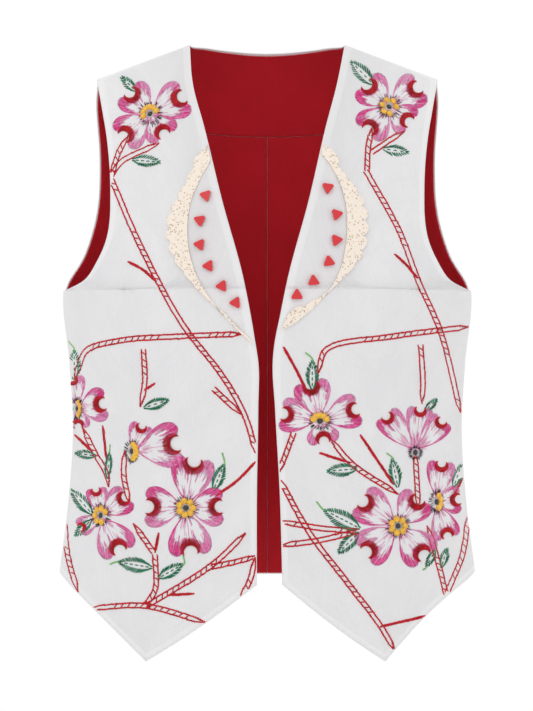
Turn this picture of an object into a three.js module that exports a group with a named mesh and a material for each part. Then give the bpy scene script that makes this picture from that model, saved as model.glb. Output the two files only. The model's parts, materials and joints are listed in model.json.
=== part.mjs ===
// An open-fronted embroidered waistcoat, hollow and upright as if worn, in millimetres, +Z up.
// It faces -Y. "left" is the wearer's left, at +X, and "right" the wearer's right, at -X.
// The origin is on the centre plane, between the undersides of the two shoulder seams, where
// the garment rests on its wearer.
// Each panel is a wall: a grid of points on one smooth form, offset inwards by the cloth's
// thickness. Linings follow the shell's own grid points, further in, and the lace and beads
// stand on the fronts.
import * as THREE from "three";

// ---- Cloth ----
const SHELL = 1.2; // linen and its turned-in edges
const LINING = 1.0;
const GAP = 0.3; // clearance between faces that meet
const LACE = 1.2;
const LINING_SETBACK = 1.2; // the lining stops this far inside the shell's edge
const NECK_SETBACK = 2.6; // and further at the back neck, where the shell rolls over

// ---- Shoulders ----
const NECK_HALF = 73.6; // centre plane to the neck end of the shoulder seam
const NECK_TOP = 2.5;
const TIP_HALF = 162; // centre plane to the armhole end of the shoulder seam
const TIP_TOP = -30.5;
const SLOPE = (NECK_TOP - TIP_TOP) / (TIP_HALF - NECK_HALF);
const NAPE_RISE = 20; // the form's rise from there to the centre plane, above the back neck

// ---- The form that the panels lie on ----
// half: half width; front, back: depth in front of and behind the side seams' plane.
const FORM = [
  { z: -600, half: 207, front: 112, back: 104 },
  { z: -500, half: 197.2, front: 110, back: 99 },
  { z: -430, half: 188.5, front: 108, back: 92 },
  { z: -360, half: 184.3, front: 109, back: 90 },
  { z: -300, half: 187.5, front: 113, back: 94 },
  { z: -232, half: 193.3, front: 117, back: 100 },
  { z: -170, half: 180, front: 117, back: 102 },
  { z: -100, half: 172, front: 115, back: 101 },
  { z: -30, half: 169, front: 112, back: 98 },
  { z: 40, half: 168, front: 110, back: 96 },
];
const ROUNDNESS = 2.3; // superellipse power of each level ring
const PROFILE = {
  front: { reach: 230, power: 1.7 }, // drop from the shoulder to the full depth
  back: { reach: 150, power: 2.4 },
};

// ---- Outlines, by height ----
// Front edge: distance from the centre plane of the V neck and of the opening below it.
const FRONT_EDGE = [
  { z: -500, left: 13.6, right: 9.5 },
  { z: -424, left: 11.5, right: 9.5 },
  { z: -341, left: 7, right: 8.2 },
  { z: -297, left: 4.9, right: 8.3 },
  { z: -281, left: 6.5, right: 10.8 },
  { z: -257, left: 11.3, right: 14.8 },
  { z: -223, left: 18.3, right: 21.5 },
  { z: -151, left: 37.7, right: 41.2 },
  { z: -81, left: 54.1, right: 58.4 },
  { z: -41, left: 64.6, right: 69.2 },
  { z: NECK_TOP, left: NECK_HALF, right: NECK_HALF },
];
// Armhole edges from the underarm up to the shoulder.
const UNDERARM = { x: 193.3, z: -232 };
const ARMHOLE = {
  front: [
    UNDERARM,
    { x: 183.2, z: -229 },
    { x: 168.8, z: -221.5 },
    { x: 157.1, z: -204 },
    { x: 149.4, z: -186 },
    { x: 146.2, z: -167 },
    { x: 146, z: -143 },
    { x: 147.2, z: -118 },
    { x: 150.8, z: -88 },
    { x: 155.3, z: -64 },
    { x: TIP_HALF, z: TIP_TOP },
  ],
  back: [
    UNDERARM,
    { x: 190, z: -221 },
    { x: 177.5, z: -197.5 },
    { x: 168.3, z: -169 },
    { x: 163.8, z: -144 },
    { x: 162.4, z: -119 },
    { x: 162.3, z: -95 },
    { x: 164.2, z: -51 },
    { x: TIP_HALF, z: TIP_TOP },
  ],
};
const NECK_BACK = [
  { x: 0, z: 1.2 },
  { x: 16, z: 1.6 },
  { x: 45, z: 3.2 },
  { x: 62, z: 3.8 },
  { x: NECK_HALF, z: NECK_TOP },
];
// Hems: the fronts come down to a point, the back is almost level.
const HEM = { side: -496, opening: -501, point: -572, back: -508 };
// How far each front's hem bows up, in the middle of its stretch on either side of the point.
const HEM_BOW = { left: { inner: -2.5, outer: 7.5 }, right: { inner: -2.5, outer: 1.5 } };
const POINT_HALF = { left: 107.7, right: 111 };
// The yoke seam across the back lining, higher towards the armholes.
const YOKE = { centre: -77, armhole: -58 };

// ---- Trims ----
// Lace centre line from its top end to its bottom end, as seen from the front.
const LACE_PATH = {
  left: [
    { x: 52, z: -101 }, { x: 58, z: -114.5 }, { x: 67, z: -127 }, { x: 76, z: -143 }, { x: 80.5, z: -158.5 },
    { x: 81.5, z: -174.5 }, { x: 80, z: -191 }, { x: 76.5, z: -205 }, { x: 69, z: -219 }, { x: 58, z: -232.5 },
    { x: 46, z: -243.5 }, { x: 32, z: -253.5 }, { x: 16, z: -261 },
  ],
  right: [
    { x: 54, z: -103 }, { x: 62.5, z: -123.5 }, { x: 70.5, z: -138.5 }, { x: 78.5, z: -156.5 }, { x: 81.5, z: -174 },
    { x: 80.5, z: -192 }, { x: 74.5, z: -211 }, { x: 66, z: -225.5 }, { x: 53.5, z: -241.5 }, { x: 40.5, z: -255 },
    { x: 28, z: -265.5 }, { x: 17.5, z: -278 },
  ],
};
const LACE_SIZE = { inner: 9, outer: 7, scallop: 4, scallops: 13 };
// Triangular beads: place, and the turn of one corner from the +X direction, in degrees.
const BEADS = {
  left: [
    { x: 54.8, z: -140, turn: 25 }, { x: 62.8, z: -164.4, turn: 15 }, { x: 62.4, z: -188, turn: 9 },
    { x: 55.5, z: -207.6, turn: -20 }, { x: 41.7, z: -225, turn: -24 }, { x: 26.7, z: -237.7, turn: -30 },
  ],
  right: [
    { x: -55.7, z: -147.2, turn: 44 }, { x: -61, z: -169.9, turn: 36 }, { x: -61, z: -192.1, turn: 52 },
    { x: -53, z: -211.4, turn: 62 }, { x: -41, z: -229.5, turn: 64 }, { x: -28.6, z: -244.5, turn: 64 },
  ],
};
const BEAD = { side: 12.4, corner: 1.5, thick: 2.6, lift: 0.4 };

// ---- Materials ----
const linen = new THREE.MeshStandardMaterial({ color: 0xe4e2e3, roughness: 0.9, metalness: 0 });
const red = new THREE.MeshStandardMaterial({ color: 0x9c0a16, roughness: 0.7, metalness: 0 });
const cream = new THREE.MeshStandardMaterial({ color: 0xefe2d3, roughness: 0.95, metalness: 0 });
const beadRed = new THREE.MeshStandardMaterial({ color: 0xd01222, roughness: 0.3, metalness: 0 });

// ---- Curves ----
// A smooth function through a table: cubic pieces whose slopes average their neighbours'.
function smooth(table, from, to) {
  const rows = [...table].sort((a, b) => a[from] - b[from]);
  const at = rows.map((r) => r[from]);
  const value = rows.map((r) => r[to]);
  const rise = (i) => (value[i + 1] - value[i]) / (at[i + 1] - at[i]);
  const last = rows.length - 1;
  const slope = at.map((_, i) => {
    if (i === 0) return rise(0);
    if (i === last) return rise(last - 1);
    const before = at[i] - at[i - 1];
    const after = at[i + 1] - at[i];
    return (rise(i - 1) * after + rise(i) * before) / (before + after);
  });
  return (a) => {
    if (a <= at[0]) return value[0];
    if (a >= at[last]) return value[last];
    let i = 0;
    while (a > at[i + 1]) i++;
    const w = at[i + 1] - at[i];
    const f = (a - at[i]) / w;
    const g = 1 - f;
    return value[i] * g * g * (1 + 2 * f) + value[i + 1] * f * f * (1 + 2 * g)
      + w * f * g * (slope[i] * g - slope[i + 1] * f);
  };
}

// A path through points {x, z}, as a function of the share of its length.
function pathOf(points) {
  const curve = new THREE.CatmullRomCurve3(points.map((p) => new THREE.Vector3(p.x, 0, p.z)), false, "centripetal");
  return (share) => {
    const p = curve.getPointAt(Math.min(1, Math.max(0, share)));
    return { x: p.x, z: p.z };
  };
}

const mix = (a, b, f) => a + (b - a) * f;

// ---- The form ----
const halfWidth = smooth(FORM, "z", "half");
const depth = { front: smooth(FORM, "z", "front"), back: smooth(FORM, "z", "back") };
const FACING = { front: -1, back: 1 };
const SIDE = { left: 1, right: -1 };

// The top line of the form: along the shoulders, and over the neck between them.
function ridge(x) {
  const off = Math.abs(x);
  return off < NECK_HALF
    ? NECK_TOP + NAPE_RISE * (1 - (off / NECK_HALF) ** 2)
    : NECK_TOP + SLOPE * (NECK_HALF - off);
}

// How much of the full depth is reached at a drop below the shoulder line.
function profile(face, drop) {
  const { reach, power } = PROFILE[face];
  const f = Math.min(1, Math.max(0, drop / reach));
  return Math.pow(1 - Math.pow(1 - f, power), 1 / power);
}

// The point of one face of the form at (x, z) as seen from the front.
function formPoint(face, x, z) {
  const q = Math.min(1, Math.abs(x) / halfWidth(z));
  const round = Math.pow(1 - Math.pow(q, ROUNDNESS), 1 / ROUNDNESS);
  return new THREE.Vector3(x, FACING[face] * depth[face](z) * profile(face, ridge(x) - z) * round, z);
}

// x is carried as an angle round the ring, so that columns stay evenly spaced where the
// panel turns towards the side seam.
const angleOf = (x, z) => Math.sign(x) * Math.asin(Math.pow(Math.min(1, Math.abs(x) / halfWidth(z)), ROUNDNESS / 2));
const xOf = (angle, z) => Math.sign(angle) * halfWidth(z) * Math.pow(Math.sin(Math.abs(angle)), 2 / ROUNDNESS);

// ---- Grids ----
// A patch between four boundary curves, each a function of a share giving {x, z}.
function patch(face, bottom, top, start, end, across, up) {
  const flat = (p) => ({ a: angleOf(p.x, p.z), z: p.z });
  const [b0, b1, t0, t1] = [bottom(0), bottom(1), top(0), top(1)].map(flat);
  return up.map((v) =>
    across.map((u) => {
      const [b, t, s, e] = [bottom(u), top(u), start(v), end(v)].map(flat);
      const blend = (k) => mix(b[k], t[k], v) + mix(s[k], e[k], u)
        - mix(mix(b0[k], b1[k], u), mix(t0[k], t1[k], u), v);
      const z = blend("z");
      return formPoint(face, xOf(blend("a"), z), z);
    }),
  );
}

// The outward direction at every grid point, from its neighbours. turn is 1 where columns
// run to the right of someone looking at the outside, and -1 where they run to the left.
function outward(grid, turn) {
  const rows = grid.length;
  const columns = grid[0].length;
  return grid.map((row, i) =>
    row.map((p, j) => {
      const along = grid[i][Math.min(columns - 1, j + 1)].clone().sub(grid[i][Math.max(0, j - 1)]);
      const up = grid[Math.min(rows - 1, i + 1)][j].clone().sub(grid[Math.max(0, i - 1)][j]);
      return along.cross(up).normalize().multiplyScalar(turn);
    }),
  );
}

// Where a panel meets a seam in the side plane, its edge is square to that plane and stands
// half a gap off it.
function squareSeams(panel, face, onSeam) {
  panel.grid.forEach((row, i) =>
    row.forEach((p, j) => {
      if (!onSeam(i, j)) return;
      panel.normals[i][j].setY(0).normalize();
      p.y = (FACING[face] * GAP) / 2;
    }),
  );
}

const sunk = ({ grid, normals }, depthIn) =>
  grid.map((row, i) => row.map((p, j) => p.clone().addScaledVector(normals[i][j], -depthIn)));

// A panel cut back along its edges: each edge point slides that far towards its neighbour.
// back holds functions of the row or column number, for the first and last column and row.
function cutBack(panel, back) {
  const grid = panel.grid.map((row) => row.map((p) => p.clone()));
  const normals = panel.normals.map((row) => row.map((n) => n.clone()));
  const slide = (i, j, k, l, by) => {
    const f = Math.min(0.9, by / grid[i][j].distanceTo(grid[k][l]));
    grid[i][j].lerp(grid[k][l], f);
    normals[i][j].lerp(normals[k][l], f).normalize();
  };
  const lastRow = grid.length - 1;
  const lastColumn = grid[0].length - 1;
  for (let i = 0; i <= lastRow; i++) {
    if (back.start) slide(i, 0, i, 1, back.start(i));
    if (back.end) slide(i, lastColumn, i, lastColumn - 1, back.end(i));
  }
  for (let j = 0; j <= lastColumn; j++) {
    if (back.bottom) slide(0, j, 1, j, back.bottom(j));
    if (back.top) slide(lastRow, j, lastRow - 1, j, back.top(j));
  }
  return { grid, normals };
}

// A closed wall between two grids of the same size.
function wall(outer, inner) {
  const rows = outer.length;
  const columns = outer[0].length;
  const position = [];
  for (const layer of [outer, inner]) {
    for (const row of layer) for (const p of row) position.push(p.x, p.y, p.z);
  }
  const id = (layer, i, j) => layer * rows * columns + i * columns + j;
  const index = [];
  const quad = (a, b, c, d) => index.push(a, b, c, a, c, d);
  for (let i = 0; i + 1 < rows; i++) {
    for (let j = 0; j + 1 < columns; j++) {
      quad(id(0, i, j), id(0, i, j + 1), id(0, i + 1, j + 1), id(0, i + 1, j));
      quad(id(1, i, j), id(1, i + 1, j), id(1, i + 1, j + 1), id(1, i, j + 1));
    }
  }
  for (let j = 0; j + 1 < columns; j++) {
    quad(id(0, 0, j), id(1, 0, j), id(1, 0, j + 1), id(0, 0, j + 1));
    quad(id(0, rows - 1, j), id(0, rows - 1, j + 1), id(1, rows - 1, j + 1), id(1, rows - 1, j));
  }
  for (let i = 0; i + 1 < rows; i++) {
    quad(id(0, i, 0), id(0, i + 1, 0), id(1, i + 1, 0), id(1, i, 0));
    quad(id(0, i, columns - 1), id(1, i, columns - 1), id(1, i + 1, columns - 1), id(0, i + 1, columns - 1));
  }
  if (volumeOf(position, index) < 0) {
    for (let i = 0; i < index.length; i += 3) [index[i], index[i + 1]] = [index[i + 1], index[i]];
  }
  const geometry = new THREE.BufferGeometry();
  geometry.setAttribute("position", new THREE.Float32BufferAttribute(position, 3));
  geometry.setIndex(index);
  geometry.computeVertexNormals();
  return geometry;
}

function volumeOf(position, index) {
  const corner = (i) => new THREE.Vector3().fromArray(position, index[i] * 3);
  let volume = 0;
  for (let i = 0; i < index.length; i += 3) volume += corner(i).dot(corner(i + 1).cross(corner(i + 2))) / 6;
  return volume;
}

const garment = new THREE.Group();
function add(name, geometry, material) {
  const mesh = new THREE.Mesh(geometry, material);
  mesh.name = name;
  garment.add(mesh);
  return mesh;
}

const addShell = (name, panel) => add(name, wall(panel.grid, sunk(panel, SHELL)), linen);
const LINING_DEPTH = SHELL + GAP; // the lining's outer face, below the shell's outer face

// Evenly spaced shares from 0 to 1, and shares that crowd towards both ends or the last one.
const even = (n) => Array.from({ length: n + 1 }, (_, i) => i / n);
const crowded = (n) => even(n).map((v) => (1 - Math.cos(Math.PI * v)) / 2);
const crowdedLast = (n) => even(n).map((v) => 1 - Math.pow(1 - v, 1.6));
// Shares of a lower part up to a border, followed by those of an upper part.
const joined = (low, high, border) =>
  [...low.map((v) => v * border), ...high.slice(1).map((v) => mix(border, 1, v))];

// ---- Fronts and their linings ----
const FRONT_COLUMNS = 12;
const POINT_COLUMN = 6; // this one runs down to the hem's point
const LOW_FRONT_ROWS = even(10); // from the hem to the underarm
const HIGH_FRONT_ROWS = crowded(13); // from there to the shoulder
const armholeFront = pathOf(ARMHOLE.front);

function frontPanel(side) {
  const s = SIDE[side];
  const edge = smooth(FRONT_EDGE, "z", side);
  const opening = edge(HEM.opening);
  const point = POINT_HALF[side];
  const hemZ = (x) => {
    const [from, to, fromX, toX, bow] = x < point
      ? [HEM.opening, HEM.point, opening, point, HEM_BOW[side].inner]
      : [HEM.point, HEM.side, point, halfWidth(HEM.side), HEM_BOW[side].outer];
    const f = (x - fromX) / (toX - fromX);
    return mix(from, to, f) + bow * Math.sin(Math.PI * f);
  };
  const first = angleOf(opening, HEM.side);
  const pointShare = (angleOf(point, HEM.side) - first) / (Math.PI / 2 - first);
  const across = joined(even(POINT_COLUMN), even(FRONT_COLUMNS - POINT_COLUMN), pointShare);
  const bottom = (u) => {
    const x = xOf(mix(first, Math.PI / 2, u), HEM.side);
    return { x: s * x, z: hemZ(x) };
  };
  // A level row at the underarm, where the panel stops being bounded by the side seam.
  const level = (u) => {
    const from = angleOf(edge(UNDERARM.z), UNDERARM.z);
    return { x: s * xOf(mix(from, Math.PI / 2, u), UNDERARM.z), z: UNDERARM.z };
  };
  const top = (u) => {
    const x = mix(NECK_HALF, TIP_HALF, u);
    return { x: s * x, z: ridge(x) };
  };
  const onEdge = (z) => ({ x: s * edge(z), z });
  const sideSeam = (v) => {
    const z = mix(HEM.side, UNDERARM.z, v);
    return { x: s * halfWidth(z), z };
  };
  const beside = (v) => ({ x: s * armholeFront(v).x, z: armholeFront(v).z });
  // The front edge climbs in step with the armhole, so rows stay nearly level.
  const climb = (v) => mix(UNDERARM.z, NECK_TOP, (beside(v).z - UNDERARM.z) / (TIP_TOP - UNDERARM.z));
  const low = patch("front", bottom, level, (v) => onEdge(mix(HEM.opening, UNDERARM.z, v)), sideSeam, across, LOW_FRONT_ROWS);
  const high = patch("front", level, top, (v) => onEdge(climb(v)), beside, across, HIGH_FRONT_ROWS);
  const grid = [...low, ...high.slice(1)];
  const panel = { grid, normals: outward(grid, s) };
  squareSeams(panel, "front", (i, j) => i === grid.length - 1 || (j === FRONT_COLUMNS && i < low.length));
  return panel;
}

const fronts = { left: frontPanel("left"), right: frontPanel("right") };
for (const side of ["left", "right"]) {
  addShell(`front_${side}`, fronts[side]);
  const lining = cutBack(fronts[side], {
    start: () => LINING_SETBACK,
    end: (i) => (i < LOW_FRONT_ROWS.length ? 0 : LINING_SETBACK),
    bottom: () => LINING_SETBACK,
  });
  add(`lining_front_${side}`, wall(sunk(lining, LINING_DEPTH), sunk(lining, LINING_DEPTH + LINING)), red);
}

// ---- Back, its yoke lining and its two lower lining halves ----
// Columns run from the wearer's right side to the left side.
const BACK_COLUMNS = 18; // even, so that one column is the centre back
const NECK_COLUMNS = 8; // of these, the ones under the back neck
const NECK_SHARE = NECK_COLUMNS / BACK_COLUMNS;
const SIDE_SHARE = 0.6; // share of the lower rows' height that is side seam
const LOW_ROWS = joined(even(8), crowded(6), SIDE_SHARE);
const HIGH_ROWS = crowdedLast(8);
const YOKE_ROW = LOW_ROWS.length - 1;
const armholeBack = pathOf(ARMHOLE.back);

// The share along the back armhole at which its edge reaches a height.
function armholeShareAt(z) {
  let low = 0;
  let high = 1;
  for (let step = 0; step < 40; step++) {
    const middle = (low + high) / 2;
    if (armholeBack(middle).z < z) low = middle;
    else high = middle;
  }
  return low;
}

function backPanel() {
  const yokeShare = armholeShareAt(YOKE.armhole);
  const yokeEnd = armholeBack(yokeShare);
  const neckZ = smooth(NECK_BACK, "x", "z");
  const spread = (u) => 2 * u - 1; // -1 at the right side, 0 at the centre back, 1 at the left side
  const hem = (u) => {
    const w = spread(u);
    return { x: xOf((w * Math.PI) / 2, HEM.side), z: mix(HEM.back, HEM.side, w * w) };
  };
  const yoke = (u) => {
    const w = spread(u);
    return { x: w * yokeEnd.x, z: mix(YOKE.centre, YOKE.armhole, w * w) };
  };
  const top = (u) => {
    const w = Math.abs(spread(u));
    const onNeck = w <= NECK_SHARE + 1e-9;
    const x = onNeck
      ? NECK_HALF * Math.sin(((w / NECK_SHARE) * Math.PI) / 2) ** 0.9
      : mix(NECK_HALF, TIP_HALF, (w - NECK_SHARE) / (1 - NECK_SHARE));
    return { x: Math.sign(spread(u)) * x, z: onNeck ? Math.min(neckZ(x), ridge(x)) : ridge(x) };
  };
  const lowEnd = (s) => (v) => {
    const z = mix(HEM.side, UNDERARM.z, v / SIDE_SHARE);
    const p = v <= SIDE_SHARE
      ? { x: halfWidth(z), z }
      : armholeBack(((v - SIDE_SHARE) / (1 - SIDE_SHARE)) * yokeShare);
    return { x: s * p.x, z: p.z };
  };
  const highEnd = (s) => (v) => {
    const p = armholeBack(mix(yokeShare, 1, v));
    return { x: s * p.x, z: p.z };
  };
  const across = even(BACK_COLUMNS);
  const grid = [
    ...patch("back", hem, yoke, lowEnd(-1), lowEnd(1), across, LOW_ROWS),
    ...patch("back", yoke, top, highEnd(-1), highEnd(1), across, HIGH_ROWS).slice(1),
  ];
  const panel = { grid, normals: outward(grid, -1) };
  squareSeams(panel, "back", (i, j) => {
    const onShoulder = i === grid.length - 1 && Math.abs(spread(across[j])) > NECK_SHARE - 1e-9;
    const onSide = (j === 0 || j === BACK_COLUMNS) && LOW_ROWS[i] <= SIDE_SHARE;
    return onShoulder || onSide;
  });
  return panel;
}

const back = backPanel();
addShell("back", back);

const besideArmhole = (i) => (LOW_ROWS[i] <= SIDE_SHARE ? 0 : LINING_SETBACK);
const underNeck = (j) => (Math.abs(j - BACK_COLUMNS / 2) < NECK_COLUMNS / 2 ? NECK_SETBACK : 0);
const backLining = cutBack(back, {
  start: besideArmhole,
  end: besideArmhole,
  bottom: () => LINING_SETBACK,
  top: underNeck,
});

// Some rows and columns of the back lining; seams are edges it pulls half a gap back from.
function liningPiece(name, rows, columns, seams) {
  const piece = (grid) =>
    grid.slice(...rows).map((row, i, all) =>
      row.slice(...columns).map((p, j, line) => {
        const q = p.clone();
        if (seams.above && i === all.length - 1) q.z -= GAP / 2;
        if (seams.below && i === 0) q.z += GAP / 2;
        if (seams.first && j === 0) q.x += GAP / 2;
        if (seams.last && j === line.length - 1) q.x -= GAP / 2;
        return q;
      }),
    );
  add(name, wall(piece(sunk(backLining, LINING_DEPTH)), piece(sunk(backLining, LINING_DEPTH + LINING))), red);
}
liningPiece("lining_yoke", [YOKE_ROW], [0], { below: true });
liningPiece("lining_back_right", [0, YOKE_ROW + 1], [0, BACK_COLUMNS / 2 + 1], { above: true, last: true });
liningPiece("lining_back_left", [0, YOKE_ROW + 1], [BACK_COLUMNS / 2], { above: true, first: true });

// ---- Lace and beads, on the fronts ----
// The point of a front's outer face at (x, z) and the outward direction there.
function onFront(side, x, z) {
  const { grid, normals } = fronts[side];
  const away = (a, b) => (b.x - a.x) * (z - a.z) - (b.z - a.z) * (x - a.x);
  for (let i = 0; i + 1 < grid.length; i++) {
    for (let j = 0; j + 1 < grid[0].length; j++) {
      for (const [di, dj] of [[0, 1], [1, 0]]) {
        const corners = [[i, j], di ? [i + 1, j + 1] : [i, j + 1], di ? [i + 1, j] : [i + 1, j + 1]];
        const [a, b, c] = corners.map(([k, l]) => grid[k][l]);
        const shares = [away(b, c), away(c, a), away(a, b)];
        const sum = shares[0] + shares[1] + shares[2];
        if (shares.some((w) => w / sum < -1e-6)) continue;
        const p = new THREE.Vector3();
        const n = new THREE.Vector3();
        corners.forEach(([k, l], m) => {
          p.addScaledVector(grid[k][l], shares[m] / sum);
          n.addScaledVector(normals[k][l], shares[m] / sum);
        });
        return { p, n: n.normalize() };
      }
    }
  }
  throw new Error(`nothing of the ${side} front at ${x}, ${z}`);
}

const STEPS_PER_SCALLOP = 3;
function lace(side) {
  const path = pathOf(LACE_PATH[side]);
  const edge = smooth(FRONT_EDGE, "z", side);
  const { inner, outer, scallop, scallops } = LACE_SIZE;
  const rows = even(scallops * STEPS_PER_SCALLOP).map((share) => {
    const here = path(share);
    const ahead = path(share + 0.01);
    const behind = path(share - 0.01);
    const tangent = new THREE.Vector2(ahead.x - behind.x, ahead.z - behind.z).normalize();
    const wave = Math.abs(Math.sin(share * scallops * Math.PI));
    return [-inner, 0, outer + scallop * wave].map((reach) => {
      const z = here.z + tangent.x * -reach;
      const x = Math.max(here.x - tangent.y * reach, edge(z) + LINING_SETBACK);
      return onFront(side, SIDE[side] * x, z);
    });
  });
  const lifted = (lift) => rows.map((row) => row.map(({ p, n }) => p.clone().addScaledVector(n, lift)));
  return wall(lifted(GAP + LACE), lifted(GAP));
}

// A triangle with rounded corners, lying flat, one corner towards +X.
function beadGeometry() {
  const shape = new THREE.Shape();
  const cornerOut = BEAD.side / Math.sqrt(3) - 2 * BEAD.corner; // to each rounding's centre
  for (const turn of [0, 120, 240]) {
    const angle = THREE.MathUtils.degToRad(turn);
    const [x, y] = [cornerOut * Math.cos(angle), cornerOut * Math.sin(angle)];
    shape.absarc(x, y, BEAD.corner, angle - Math.PI / 3, angle + Math.PI / 3, false);
  }
  return new THREE.ExtrudeGeometry(shape, { depth: BEAD.thick, bevelEnabled: false, curveSegments: 3 });
}

for (const side of ["left", "right"]) {
  add(`lace_${side}`, lace(side), cream);
  BEADS[side].forEach(({ x, z, turn }, i) => {
    const bead = add(`bead_${side}_${i + 1}`, beadGeometry(), beadRed);
    const { p, n } = onFront(side, x, z);
    const across = new THREE.Vector3(1, 0, 0).addScaledVector(n, -n.x).normalize();
    const up = new THREE.Vector3().crossVectors(n, across);
    bead.quaternion.setFromRotationMatrix(new THREE.Matrix4().makeBasis(across, up, n));
    bead.rotateZ(THREE.MathUtils.degToRad(turn));
    bead.position.copy(p).addScaledVector(n, BEAD.lift);
  });
}

export default garment;
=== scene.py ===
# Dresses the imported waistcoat: linen shells with darts, a red lining and raised floral
# embroidery, with materials for the solids' own lace and beads. Lengths here are in millimetres, in the
# model's own frame, and become metres when a mesh is made. The waistcoat faces -Y.
import json
import math

import bpy
import numpy as np
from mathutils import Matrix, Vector

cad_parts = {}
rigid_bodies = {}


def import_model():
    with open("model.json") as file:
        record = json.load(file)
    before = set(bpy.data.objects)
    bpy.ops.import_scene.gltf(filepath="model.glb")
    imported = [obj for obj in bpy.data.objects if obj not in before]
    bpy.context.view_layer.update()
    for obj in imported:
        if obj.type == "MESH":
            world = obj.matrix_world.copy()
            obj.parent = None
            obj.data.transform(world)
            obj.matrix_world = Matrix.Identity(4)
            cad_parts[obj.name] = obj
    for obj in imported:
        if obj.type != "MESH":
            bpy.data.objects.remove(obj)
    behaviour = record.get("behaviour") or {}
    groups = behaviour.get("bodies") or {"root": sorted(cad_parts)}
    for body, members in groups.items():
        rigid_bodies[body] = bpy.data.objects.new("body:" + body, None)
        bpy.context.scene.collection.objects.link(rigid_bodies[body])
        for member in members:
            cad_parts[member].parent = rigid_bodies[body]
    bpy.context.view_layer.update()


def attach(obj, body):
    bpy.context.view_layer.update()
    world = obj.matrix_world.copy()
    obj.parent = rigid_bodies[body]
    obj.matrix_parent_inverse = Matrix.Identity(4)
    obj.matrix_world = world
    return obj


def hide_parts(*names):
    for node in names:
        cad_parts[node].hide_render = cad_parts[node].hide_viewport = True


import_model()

SHELL = 1.2
LINING = 1.0
GAP = 0.3
LINING_SETBACK = 1.2
NECK_SETBACK = 2.6
FACING = {"front": -1, "back": 1}
SIDE = {"left": 1, "right": -1}  # the wearer's left is at +X

# ---------------------------------------------------------------- the form, as in the solids
NECK_HALF, NECK_TOP = 73.6, 2.5
TIP_HALF, TIP_TOP = 162, -30.5
SLOPE = (NECK_TOP - TIP_TOP) / (TIP_HALF - NECK_HALF)
NAPE_RISE = 20
ROUNDNESS = 2.3
PROFILE = {"front": (230, 1.7), "back": (150, 2.4)}
FORM = [  # height, half width, depth in front, depth behind
    (-600, 207, 112, 104), (-500, 197.2, 110, 99), (-430, 188.5, 108, 92), (-360, 184.3, 109, 90),
    (-300, 187.5, 113, 94), (-232, 193.3, 117, 100), (-170, 180, 117, 102), (-100, 172, 115, 101),
    (-30, 169, 112, 98), (40, 168, 110, 96),
]
FRONT_EDGE = [  # height, the left front's distance from the centre plane, the right front's
    (-500, 13.6, 9.5), (-424, 11.5, 9.5), (-341, 7, 8.2), (-297, 4.9, 8.3), (-281, 6.5, 10.8),
    (-257, 11.3, 14.8), (-223, 18.3, 21.5), (-151, 37.7, 41.2), (-81, 54.1, 58.4), (-41, 64.6, 69.2),
    (NECK_TOP, NECK_HALF, NECK_HALF),
]
UNDERARM = (193.3, -232)
ARMHOLE = {
    "front": [UNDERARM, (183.2, -229), (168.8, -221.5), (157.1, -204), (149.4, -186), (146.2, -167),
              (146, -143), (147.2, -118), (150.8, -88), (155.3, -64), (TIP_HALF, TIP_TOP)],
    "back": [UNDERARM, (190, -221), (177.5, -197.5), (168.3, -169), (163.8, -144), (162.4, -119),
             (162.3, -95), (164.2, -51), (TIP_HALF, TIP_TOP)],
}
NECK_BACK = [(0, 1.2), (16, 1.6), (45, 3.2), (62, 3.8), (NECK_HALF, NECK_TOP)]
HEM = {"side": -496, "opening": -501, "point": -572, "back": -508}
HEM_BOW = {"left": (-2.5, 7.5), "right": (-2.5, 1.5)}  # before and beyond the point
POINT_HALF = {"left": 107.7, "right": 111}
YOKE = {"centre": -77, "armhole": -58}


def mix(a, b, f):
    return a + (b - a) * f


def smooth(rows, column):
    """A smooth function through a table: cubic pieces whose slopes average their neighbours'."""
    rows = sorted(rows)
    at = np.array([r[0] for r in rows], float)
    value = np.array([r[column] for r in rows], float)
    width = np.diff(at)
    rise = np.diff(value) / width
    inner = (rise[:-1] * width[1:] + rise[1:] * width[:-1]) / (width[:-1] + width[1:])
    slope = np.concatenate([rise[:1], inner, rise[-1:]])

    def f(a):
        a = np.clip(a, at[0], at[-1])
        i = np.clip(np.searchsorted(at, a, side="right") - 1, 0, len(at) - 2)
        t = (a - at[i]) / width[i]
        g = 1 - t
        ends = value[i] * g * g * (1 + 2 * t) + value[i + 1] * t * t * (1 + 2 * g)
        return ends + width[i] * t * g * (slope[i] * g - slope[i + 1] * t)

    return f


def curve_through(points, steps=24):
    """Dense points along a centripetal Catmull-Rom curve through a list of points."""
    p = np.array(points, float)
    p = np.vstack([2 * p[0] - p[1], p, 2 * p[-1] - p[-2]])
    t = np.linspace(0, 1, steps, endpoint=False)[:, None]
    out = []
    for a, b, c, d in zip(p, p[1:], p[2:], p[3:]):
        gaps = [max(1e-6, np.linalg.norm(w - v)) ** 0.5 for v, w in ((a, b), (b, c), (c, d))]
        m = gaps[1] * ((b - a) / gaps[0] - (c - a) / (gaps[0] + gaps[1]) + (c - b) / gaps[1])
        n = gaps[1] * ((c - b) / gaps[1] - (d - b) / (gaps[1] + gaps[2]) + (d - c) / gaps[2])
        out.append(b + m * t + (3 * (c - b) - 2 * m - n) * t**2 + (2 * (b - c) + m + n) * t**3)
    return np.vstack([*out, p[-2:-1]])


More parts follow.
